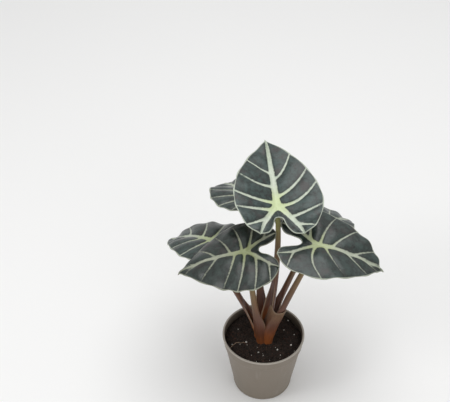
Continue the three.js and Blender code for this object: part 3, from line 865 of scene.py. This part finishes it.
def line_distance(points, path, widths):
    """Distance of points from a line of tapering half width: negative inside it."""
    best = np.full(len(points), 1e9)
    for a, b, wa, wb in zip(path[:-1], path[1:], widths[:-1], widths[1:]):
        line = b - a
        along = np.clip((points - a) @ line / max(line @ line, 1e-12), 0, 1)
        away = np.linalg.norm(points - a - along[:, None] * line, axis=1)
        best = np.minimum(best, away - (wa + (wb - wa) * along))
    return best


def real_size(leaf, places):
    """Places on the flat blade in millimetres, with the leaf's own width and length of lobes."""
    lobed = np.where(places[:, :1] < 0, [[leaf["lobe"], 1]], [[1, 1]])
    return places * lobed * [leaf["size"], leaf["size"] * leaf["width"]]


def leaf_marks(leaf, places):
    """For each point, in millimetres: how far the edge of the nearest vein, the margin and the stalk are."""
    real = real_size(leaf, places)
    slim = (leaf["size"] / FULL_SIZE) ** 0.6 * leaf.get("stout", PLAIN_VEINS)
    total = np.zeros(len(real))
    for path, widths in vein_lines(leaf):
        total += np.exp(-line_distance(real, real_size(leaf, path), widths * slim) / VEIN_MERGE)
    vein = -VEIN_MERGE * np.log(np.maximum(total, 1e-30))
    outer, inner = spline(OUTER_MARGIN, np.linspace(0, 1, 90)), spline(INNER_MARGIN, np.linspace(1, 0, 50))
    margin = np.full(len(real), 1e9)
    for side in (1, -1):
        path = real_size(leaf, np.concatenate([outer, inner]) * [1, side])
        margin = np.minimum(margin, line_distance(real, path, np.zeros(len(path))))
    return np.stack([vein, margin, np.linalg.norm(real, axis=1)], 1), real


def curved(leaf, places, lift):
    """Where points of the flat blade go, lift millimetres above the plain form, around the stalk's top."""
    u = np.where(places[:, 0] > 0, places[:, 0], places[:, 0] * leaf["lobe"])
    v = places[:, 1] * leaf["width"]
    wide = np.sqrt(v * v + SOFT_FOLD * SOFT_FOLD) - SOFT_FOLD
    reach = np.hypot(u, v) / WAVE_REACH
    wave = leaf["wave"] * reach**2 * np.sin(WAVES * np.arctan2(v, u) + leaf["phase"])
    height = leaf["fold"] * wide - leaf["droop"] * wide**2 + wave + lift / leaf["size"]
    curl = np.where(u > 0, leaf["bend"][0], leaf["bend"][1])
    along = np.sin(curl * u) / curl + height * np.sin(curl * u)
    up = height * np.cos(curl * u) - (1 - np.cos(curl * u)) / curl
    return np.stack([along, v, up], 1) * leaf["size"]


def point_normals(points, faces):
    """Normals at points, from the faces round them."""
    normals = np.zeros_like(points)
    corners = np.array([face if len(face) == 4 else [*face, face[2]] for face in faces])
    a, b, c, d = (points[corners[:, i]] for i in range(4))
    flat = np.cross(c - a, d - b)
    for i in range(4):
        np.add.at(normals, corners[:, i], flat)
    return unit(normals)


def boundary(faces):
    """The open edges of a sheet, in the order and direction of its faces."""
    edges = {}
    for face in faces:
        for a, b in zip(face, face[1:] + face[:1]):
            if not edges.pop((b, a), False):
                edges[a, b] = True
    return list(edges)


def blade_material(look, under):
    paint = Paint("blade underside" if under else "blade upper face")
    vein, margin, centre = paint.marks("leaf_marks")
    place = paint.flat("Leaf")
    patch = paint.noise(place, 4.2, 4, 0.6, 0.4)
    mottle = paint.noise(place, 15, 4, 0.65, 0.3)
    fine = paint.noise(place, 60, 3, 0.6)
    coarse = paint.noise(place, 26, 2, 0.5)
    vein = vein + (fine - 0.5) * 1.5 + (coarse - 0.5) * 1.3
    if under:
        base = paint.layers(paint.mix(mottle, look.under, (0.06, 0.034, 0.03)), [
            (vein, 0.3, -0.7, 0.85, look.under_vein),
            (margin, 1.6, 0.9, 0.6, look.under_vein),
        ])
        normal = paint.bump(paint.noise(place, 120, 3, 0.6), 0.0002, 0.5)
        rough = 0.5 - paint.fade(vein, 0.3, -0.7) * 0.08
        return paint.finish(Base_Color=base, Roughness=rough, Normal=normal)
    net = paint.cells(place, 38, "DISTANCE_TO_EDGE")
    edge = look.margin / MM
    silvery = paint.layers(look.vein, [
        (mottle, 0.4, 0.7, 0.45, (0.26, 0.33, 0.25)),
        (vein, -0.3, -1.6, 0.4, (0.64, 0.69, 0.58)),
        (centre + (mottle - 0.5) * 14, 36, 4, 0.9, look.young),
    ])
    base = paint.layers(look.dark_green_and_shade, [
        (mottle, 0.34, 0.62, 1, look.blade),
        (coarse, 0.45, 0.75, 0.45, look.dark_green_and_shade),
        (patch, 0.5, 0.68, 0.75, look.bronze),
        # Painted sheen: lighter blue-grey patches stand in for the reflection of the surroundings
        (patch, 0.5, 0.3, 0.6, (0.052, 0.086, 0.082)),
        # Painted shade: the blade darkened within a few millimetres of the veins, where the grooves lie
        (vein, 3.5, 0.3, 0.6, look.dark_green_and_shade),
        (net, 0.05, 0, 0.045, look.vein),
        (vein, 0.7, -0.55, 1, silvery),
        (margin + (fine - 0.5) * 0.8, edge * 1.3, edge * 0.6, 0.8, look.vein),
        (margin, 0.25, 0.05, 0.5, (0.16, 0.13, 0.08)),
    ])
    # Painted shade: lower leaves are darkened by their mark, partly for their age and partly for the shade on
    # them
    base = paint.mix(paint.marks("leaf_shade_and_age")[0], base, (0.6, 0.58, 0.53), "MULTIPLY")
    chosen = paint.fade(paint.noise(place, 9, 1), 0.6, 0.66)
    base = paint.layers(base, [(paint.cells(place, 17), 0.045, 0.03, chosen * 0.8, (0.5, 0.48, 0.44))])
    rough = 0.33 + (mottle - 0.5) * 0.26 + paint.fade(vein, 0.7, -0.55) * 0.1
    relief = paint.noise(place, 190, 3, 0.6) * 0.35 + fine * 0.65 - paint.fade(net, 0.1, 0) * 0.4
    return paint.finish(Base_Color=base, Roughness=rough, Normal=paint.bump(relief, 0.00022, 0.55),
                        Specular_IOR_Level=0.5, Coat_Weight=0.2, Coat_Roughness=0.25)


def bumps(points, number, kinds):
    """Smooth bumps of each height and breadth, different for every leaf."""
    return sum(height * ripple(points, breadth, seed + number) for height, breadth, seed in kinds)


def build_leaf(number, leaf, look, materials):
    places, extras, faces = flat_blade(leaf, look)
    marks, real = leaf_marks(leaf, places)
    swell, scallop = extras.T
    vein, margin, centre = marks.T
    groove, thick = look.groove / MM, look.thick / MM
    lift = look.quilt * leaf["size"] * swell - groove * smoothstep(-vein, -0.6, 1.2)
    lift += 0.35 * groove * smoothstep(-vein, 1.0, 2.6)
    lift += bumps(real, number, BUMPS) * smoothstep(centre, 4, 18)
    lift += np.exp(-margin / 10) * (bumps(real, number, [FLUTTER]) - 1.8 * (scallop - 0.4))
    upper = curved(leaf, places, lift)
    normals = point_normals(upper, faces)
    ribs = look.rib / MM * smoothstep(-vein, -0.5, 2.4) * (leaf["size"] / FULL_SIZE)
    depth = thick * (0.6 + 0.4 * smoothstep(margin, 0, 2)) + ribs * smoothstep(margin, 0, 6)
    lower = upper - normals * depth[:, None]

    edges = boundary(faces)
    order = dict(edges)
    rim = np.array(list(order))
    ahead = upper[list(order.values())] - upper[rim]
    middle = (upper[rim] + lower[rim]) / 2 + unit(np.cross(ahead, normals[rim])) * 0.3 * thick
    size = len(upper)
    slot_of = {n: 2 * size + i for i, n in enumerate(order)}
    upper_faces = faces + [[b, a, slot_of[a], slot_of[b]] for a, b in edges]
    lower_faces = [[slot_of[b], slot_of[a], a + size, b + size] for a, b in edges]
    lower_faces += [[n + size for n in reversed(face)] for face in faces]
    points = np.concatenate([upper, lower, middle]) @ np.array(leaf_turn(leaf)).T + leaf["at"]
    all_faces = upper_faces + lower_faces
    piece = add_piece(f"leaf_{number}", points * MM, all_faces, materials, f"blade_{number}")
    every = np.concatenate([np.arange(size), np.arange(size), rim])
    add_marks(piece.data, "leaf_marks", marks[every])
    add_marks(piece.data, "leaf_shade_and_age", np.full((len(every), 3), leaf.get("shade_and_age", PLAIN_SHADE_AND_AGE)))
    add_flat(piece.data, "Leaf", real[every] / 100 + [number * 3.7, number * 1.9])
    under = [0] * len(upper_faces) + [1] * len(lower_faces)
    piece.data.polygons.foreach_set("material_index", under)
    piece.data.update()


# Stalks

def stalk_line(leaf, shares):
    """The stalk's centre line as the solid has it, its tangents and the way that it leans, in millimetres."""
    up = np.array(leaf_turn(leaf) @ Vector((0, 0, 1)))
    end = np.array(leaf["at"]) - up * 1.5
    bearing, level = leaf["port"]
    outward = np.array([math.cos(math.radians(bearing)), math.sin(math.radians(bearing)), 0])
    start = np.array([0, 0, PEAT + level]) + outward * 0.62 * STEM_RADIUS * (1 - level / STEM_TOP)
    size = np.linalg.norm(end - start)
    leave = unit(np.array([[0, 0, 1]]) + outward * 0.26)[0]
    rise, hang = start + leave * size * 0.33, end - up * size * 0.28 + np.array(leaf["swing"])
    t = shares[:, None]
    line = (1 - t) ** 3 * start + 3 * t * (1 - t) ** 2 * rise + 3 * t * t * (1 - t) * hang + t**3 * end
    tangent = unit((1 - t) ** 2 * (rise - start) + 2 * t * (1 - t) * (hang - rise) + t * t * (end - hang))
    tangent += (up - tangent) * smoothstep(t, 0.94, 1)
    line[:, 2] -= (min(level, 6) + 8) * (1 - smoothstep(shares, 0, 0.06))
    return line, unit(tangent), outward


def stalk_rings(leaf, look):
    """The stalk's rings of points, with the marks along and across it. Its lower part is an open sheath."""
    shares = np.linspace(0, 1, look.steps + 1)
    line, tangent, outward = stalk_line(leaf, shares)
    stout = 0.4 + 0.6 * leaf["size"] / FULL_SIZE
    radius = (look.base + (look.top - look.base) * shares**0.7) / MM * stout
    radius *= 1 + 0.35 * smoothstep(shares, 0.93, 1)
    out = unit(outward - tangent * (tangent @ outward)[:, None])
    side = np.cross(tangent, out)
    opened = 1 - smoothstep(shares, look.sheath * 0.45, look.sheath)
    wing = opened * (0.3 + 0.75 * smoothstep(shares, 0, 0.12)) * (1 - 0.35 * shares / look.sheath)
    around = np.linspace(-1, 1, look.sides, endpoint=False)
    plain = np.stack([np.cos(around * math.pi), np.sin(around * math.pi)], 1)
    turn = math.radians(WING_ANGLE)
    outer = np.clip(np.abs(around) / WING_SHARE, 0, 1)
    inner = np.clip((np.abs(around) - WING_SHARE) / (1 - WING_SHARE), 0, 1) * math.pi / 2
    edge = np.exp(-(((np.abs(around) - WING_SHARE) / 0.055) ** 2))
    rings, marks = [], []
    for i, along in enumerate(shares):
        grown = 1 + wing[i] * smoothstep(outer, 0.45, 1)
        wall = np.stack([np.cos(outer * turn) * grown, np.sin(outer * turn) * grown])
        x, y = math.cos(turn) * (1 + wing[i]), math.sin(turn) * (1 + wing[i])
        channel = np.stack([x + (0.35 - x) * np.sin(inner), (y - 0.16) * np.cos(inner) ** 0.8])
        shape = np.where(np.abs(around) > WING_SHARE, channel, wall).T
        shape[:, 1] *= np.sign(around)
        section = plain + (shape - plain) * opened[i]
        rings.append(line[i] + radius[i] * (section @ [out[i], side[i]]))
        marks.append(np.stack([np.full(look.sides, along), edge * opened[i], around], 1))
    return rings, marks, line


def stalk_material(look):
    paint = Paint("fleshy stalk")
    along, edge, _ = paint.marks("stalk_marks")
    place = paint.flat("Stalk")
    streak = paint.noise(paint.stretched(place, (26, 1.3, 1)), 1, 4, 0.6)
    blotch = paint.noise(paint.stretched(place, (5, 3.2, 1)), 1, 4, 0.65, 0.6)
    along = along + (blotch - 0.5) * 0.16 + (streak - 0.5) * 0.1
    low = 1 - paint.fade(along, 0.5, 0.95)
    base = paint.layers(look.foot, [
        (along, 0, 0.24, 1, look.low),
        (along, 0.34, 0.7, 1, look.middle),
        (along, 0.62, 0.98, 1, look.high),
        (streak, 0.52, 0.68, low * 0.6, (0.05, 0.019, 0.013)),
        (streak, 0.44, 0.3, low * 0.3, look.foot),
        (along + (blotch - 0.5) * 0.1, 0.03, -0.04, 0.7, (0.03, 0.015, 0.01)),
        (blotch, 0.6, 0.75, 0.3, (0.3, 0.28, 0.12)),
    ])
    base = paint.mix(edge * 0.85, base, look.edge)
    normal = paint.bump(paint.noise(paint.stretched(place, (60, 1.5, 1)), 1, 2), 0.0003, 0.5)
    return paint.finish(Base_Color=base, Roughness=0.42 + (blotch - 0.5) * 0.2, Normal=normal,
                        Coat_Weight=0.1, Coat_Roughness=0.3)


def build_stalk(number, leaf, look, material):
    """One stalk; returns its points in millimetres."""
    rings, marks, line = stalk_rings(leaf, look)
    points, faces = close_rings(rings)
    name, node = f"petiole_{number}", f"stalk_{number}"
    piece = add_piece(name, points * MM, faces, material, node, sharp=70)
    marks = np.concatenate([*marks, marks[0][:1], marks[-1][:1]])
    add_marks(piece.data, "stalk_marks", marks + [leaf.get("ripe", 0), 0, 0])
    run = marks[:, 0] * np.linalg.norm(np.diff(line, axis=0), axis=1).sum() / 100
    add_flat(piece.data, "Stalk", np.stack([marks[:, 2] * 0.5 + number * 2.3, run + number * 1.7], 1))
    return points


# Stem

def build_stem(look):
    sides = 160
    angles = np.arange(sides) * math.tau / sides
    lobes = np.zeros(sides)
    for leaf in LEAVES[1:]:
        away = (angles - math.radians(leaf["port"][0]) + math.pi) % math.tau - math.pi
        lobes = np.maximum(lobes, leaf["size"] / FULL_SIZE * np.exp(-((away / 0.36) ** 2)))
    crease = 1 - smoothstep(lobes, 0.2, 0.7)
    rings, marks = [], []
    for wide, z in spline(STEM_FORM, np.linspace(0, 1, 70)):
        radius = STEM_RADIUS * wide * (0.86 + 0.16 * lobes)
        ring = np.column_stack([radius[:, None] * circle(sides), np.full(sides, PEAT + z)])
        ring[:, :2] *= 1 + 0.02 * ripple(ring, 9, 8)[:, None]
        rings.append(ring)
        marks.append(np.stack([np.full(sides, z / 100), crease, angles / math.tau], 1))
    points, faces = close_rings(rings)
    piece = add_piece("stem", points * MM, faces, stem_material(look), "stem_base")
    add_marks(piece.data, "stem_marks", np.concatenate([*marks, marks[0][:1], marks[-1][:1]]))


def hull_radius(points, angles):
    """How far a taut skin round some points lies from the axis, at angles round it."""
    ways = np.arange(120) * math.tau / 120
    reach = (points[:, :2] @ np.stack([np.cos(ways), np.sin(ways)])).max(0)
    facing = np.cos(angles[:, None] - ways[None])
    return np.where(facing > 0.15, reach / np.maximum(facing, 0.15), 1e9).min(1)


def build_sheath(stalks, look, steps=48):
    """The sheath round the foot of two stalks: a thin closed scale with a rounded mouth and papery edges."""
    grid, marks = [], []
    side = np.linspace(-1, 1, steps + 1)
    top = SHEATH["mouth"] + SHEATH["left"] * smoothstep(-side, -0.1, 0.75)
    top += SHEATH["right"] * smoothstep(side, 0, 0.8)
    top -= 30 * smoothstep(abs(side), 0.62, 1)
    for v in np.linspace(0, 1, steps + 1):
        ring = []
        for k, u in enumerate(side):
            z = PEAT - 6 + (top[k] + 6) * v
            near = stalks[abs(stalks[:, 2] - z) < 3]
            centre = np.array([*((near.max(0) + near.min(0)) / 2)[:2], 0])
            angle = np.array([math.radians(SHEATH["bearing"] + SHEATH["half_width"] * u)])
            radius = hull_radius(near - centre, angle)[0] + SHEATH["lift"] + 0.9 * v**6 - 0.9 * abs(u) ** 6
            ring.append(centre + [radius * math.cos(angle[0]), radius * math.sin(angle[0]), z])
        grid.append(ring)
        edge = np.maximum(smoothstep(abs(side), 0.94, 1), smoothstep(v, 0.965, 1))
        marks.append(np.stack([(np.array(ring)[:, 2] - PEAT) / 100, -edge, side], 1))
    outer, marks = np.concatenate(grid), np.concatenate(marks)
    outer += 0.25 * ripple(outer * [1, 1, 0.3], 7, 31)[:, None] * [0, 1, 0]
    inner = outer + [0, 0.7, 0] * (1.25 + marks[:, 1:2])
    index = np.arange((steps + 1) ** 2).reshape(steps + 1, steps + 1)
    quads = np.stack([index[:-1, :-1], index[:-1, 1:], index[1:, 1:], index[1:, :-1]], -1)
    quads = quads.reshape(-1, 4).tolist()
    skin = quads + [[n + len(outer) for n in reversed(quad)] for quad in quads]
    skin += [[b, a, a + len(outer), b + len(outer)] for a, b in boundary(quads)]
    points = np.concatenate([outer, inner]) * MM
    piece = add_piece("clasping_sheath", points, skin, stem_material(look))
    add_marks(piece.data, "stem_marks", np.concatenate([marks, marks]))


def stem_material(look):
    paint = Paint("sheath bases")
    height, crease, _ = paint.marks("stem_marks")
    place = paint.here()
    streak = paint.noise(paint.stretched(place, (420, 420, 26)), 1, 4, 0.6)
    blotch = paint.noise(place, 70, 4, 0.6)
    line = paint.noise(paint.stretched(place, (1100, 1100, 16)), 1, 3, 0.6)
    base = paint.layers(look.foot, [
        (height + (blotch - 0.5) * 0.16, 0.04, 0.4, 1, look.low),
        (streak, 0.5, 0.75, 0.55, look.low),
        (height + (blotch - 0.5) * 0.3, 0.3, 0.75, 0.6, look.middle),
        (line, 0.5, 0.66, 0.5, (0.05, 0.019, 0.013)),
    ])
    # Painted shade: the creases between the stalk bases are darkened almost to black
    base = paint.mix(paint.high(crease, 0) * 0.7, base, (0.035, 0.014, 0.01))
    base = paint.mix(paint.high(crease * -1, 0) * 0.6, base, look.edge)
    base = paint.layers(base, [(height + (streak - 0.5) * 0.05, 0.03, 0, 0.6, (0.04, 0.02, 0.013))])
    rough = 0.5 + (blotch - 0.5) * 0.2
    return paint.finish(Base_Color=base, Roughness=rough, Normal=paint.bump(streak, 0.0006, 0.7))


# Stage

def build_stage(look):
    half = look.floor / 2
    mesh = bpy.data.meshes.new("studio_floor")
    corners = [(-half, -half, 0), (half, -half, 0), (half, half, 0), (-half, half, 0)]
    mesh.from_pydata(corners, [], [(0, 1, 2, 3)])
    floor = add_object("studio_floor", mesh)
    paint = Paint("pale floor")
    cloud = paint.noise(paint.here(), 3, 2)
    base = paint.mix(cloud * 0.3, look.paint, tuple(0.96 * c for c in look.paint))
    mesh.materials.append(paint.finish(Base_Color=base, Roughness=0.75))

    world = bpy.data.worlds.new("surroundings")
    world.use_nodes = True
    world.node_tree.nodes["Background"].inputs["Color"].default_value = (1, 1, 1, 1)
    world.node_tree.nodes["Background"].inputs["Strength"].default_value = look.sky
    bpy.context.scene.world = world

    def add_light(name, place, size, power):
        data = bpy.data.lights.new(name, "AREA")
        data.shape = "DISK"
        data.size = size
        data.energy = power
        light = add_object(name, data)
        light.location = place
        aim = Vector((0, 0.04, 0.2)) - light.location
        light.rotation_euler = aim.to_track_quat("-Z", "Y").to_euler()

    add_light("top light", (0.2, 0.45, 1.9), 1.8, look.top)
    add_light("key light", (-1.1, -0.5, 1.3), 0.6, look.key)
    add_light("fill light", (0.9, -1.5, 1.2), 1.4, look.fill)
    bpy.context.scene.view_settings.view_transform = "Standard"

    data = bpy.data.cameras.new("camera")
    data.lens = look.lens
    data.sensor_width = 36
    data.clip_start = 0.05
    camera = add_object("camera", data)
    camera.location = look.camera
    camera.rotation_euler = (math.pi / 2 - look.tilt, 0, 0)
    bpy.context.scene.camera = camera


# Operators and panel

class ALOCASIA_OT_pot(bpy.types.Operator):
    """Build the nursery pot"""
    bl_idname = "alocasia.pot"
    bl_label = "Pot"

    def execute(self, context):
        build_pot(context.scene.alocasia_pot)
        return {"FINISHED"}


class ALOCASIA_OT_peat(bpy.types.Operator):
    """Build the peat with its crumbs, chips, fibres, perlite and rootlet"""
    bl_idname = "alocasia.peat"
    bl_label = "Peat"

    def execute(self, context):
        build_peat(context.scene.alocasia_peat)
        return {"FINISHED"}


class ALOCASIA_OT_stem(bpy.types.Operator):
    """Build the stem out of its sheath bases"""
    bl_idname = "alocasia.stem"
    bl_label = "Stem"

    def execute(self, context):
        build_stem(context.scene.alocasia_stalk)
        return {"FINISHED"}


class ALOCASIA_OT_stalks(bpy.types.Operator):
    """Build a sheathed stalk for every leaf, and the sheath that clasps two of them"""
    bl_idname = "alocasia.stalks"
    bl_label = "Stalks"

    def execute(self, context):
        look = context.scene.alocasia_stalk
        material = stalk_material(look)
        stalks = [build_stalk(number, leaf, look, material) for number, leaf in enumerate(LEAVES, 1)]
        build_sheath(np.concatenate(stalks[:2]), look)
        return {"FINISHED"}


class ALOCASIA_OT_leaves(bpy.types.Operator):
    """Build the blades with their veins, quilting, ribs and margins"""
    bl_idname = "alocasia.leaves"
    bl_label = "Leaves"

    def execute(self, context):
        look = context.scene.alocasia_leaf
        materials = [blade_material(look, False), blade_material(look, True)]
        for number, leaf in enumerate(LEAVES, 1):
            build_leaf(number, leaf, look, materials)
        return {"FINISHED"}


class ALOCASIA_OT_stage(bpy.types.Operator):
    """Set up the floor, the lights and the camera"""
    bl_idname = "alocasia.stage"
    bl_label = "Stage"

    def execute(self, context):
        build_stage(context.scene.alocasia_stage)
        return {"FINISHED"}


OPERATORS = [ALOCASIA_OT_stage, ALOCASIA_OT_pot, ALOCASIA_OT_peat, ALOCASIA_OT_stem, ALOCASIA_OT_stalks,
             ALOCASIA_OT_leaves]
LOOKS = {"alocasia_pot": PotLook, "alocasia_peat": PeatLook, "alocasia_leaf": LeafLook,
         "alocasia_stalk": StalkLook, "alocasia_stage": StageLook}


class ALOCASIA_PT_panel(bpy.types.Panel):
    """Lists what can be built and the sizes and colours that it takes"""
    bl_idname = "ALOCASIA_PT_panel"
    bl_label = "Potted alocasia"
    bl_space_type = "VIEW_3D"
    bl_region_type = "UI"
    bl_category = "Alocasia"

    def draw(self, context):
        for operator in OPERATORS:
            self.layout.operator(operator.bl_idname)
        for name, group in LOOKS.items():
            box = self.layout.box()
            for key in group.__annotations__:
                box.prop(getattr(context.scene, name), key)


CLASSES = [*LOOKS.values(), *OPERATORS, ALOCASIA_PT_panel]


def register():
    for each in CLASSES:
        bpy.utils.register_class(each)
    for name, group in LOOKS.items():
        setattr(bpy.types.Scene, name, PointerProperty(type=group))


def unregister():
    for name in LOOKS:
        delattr(bpy.types.Scene, name)
    for each in reversed(CLASSES):
        bpy.utils.unregister_class(each)


def main():
    register()
    for operator in OPERATORS:
        getattr(bpy.ops.alocasia, operator.bl_idname.split(".")[1])()


if __name__ == "__main__":
    main()
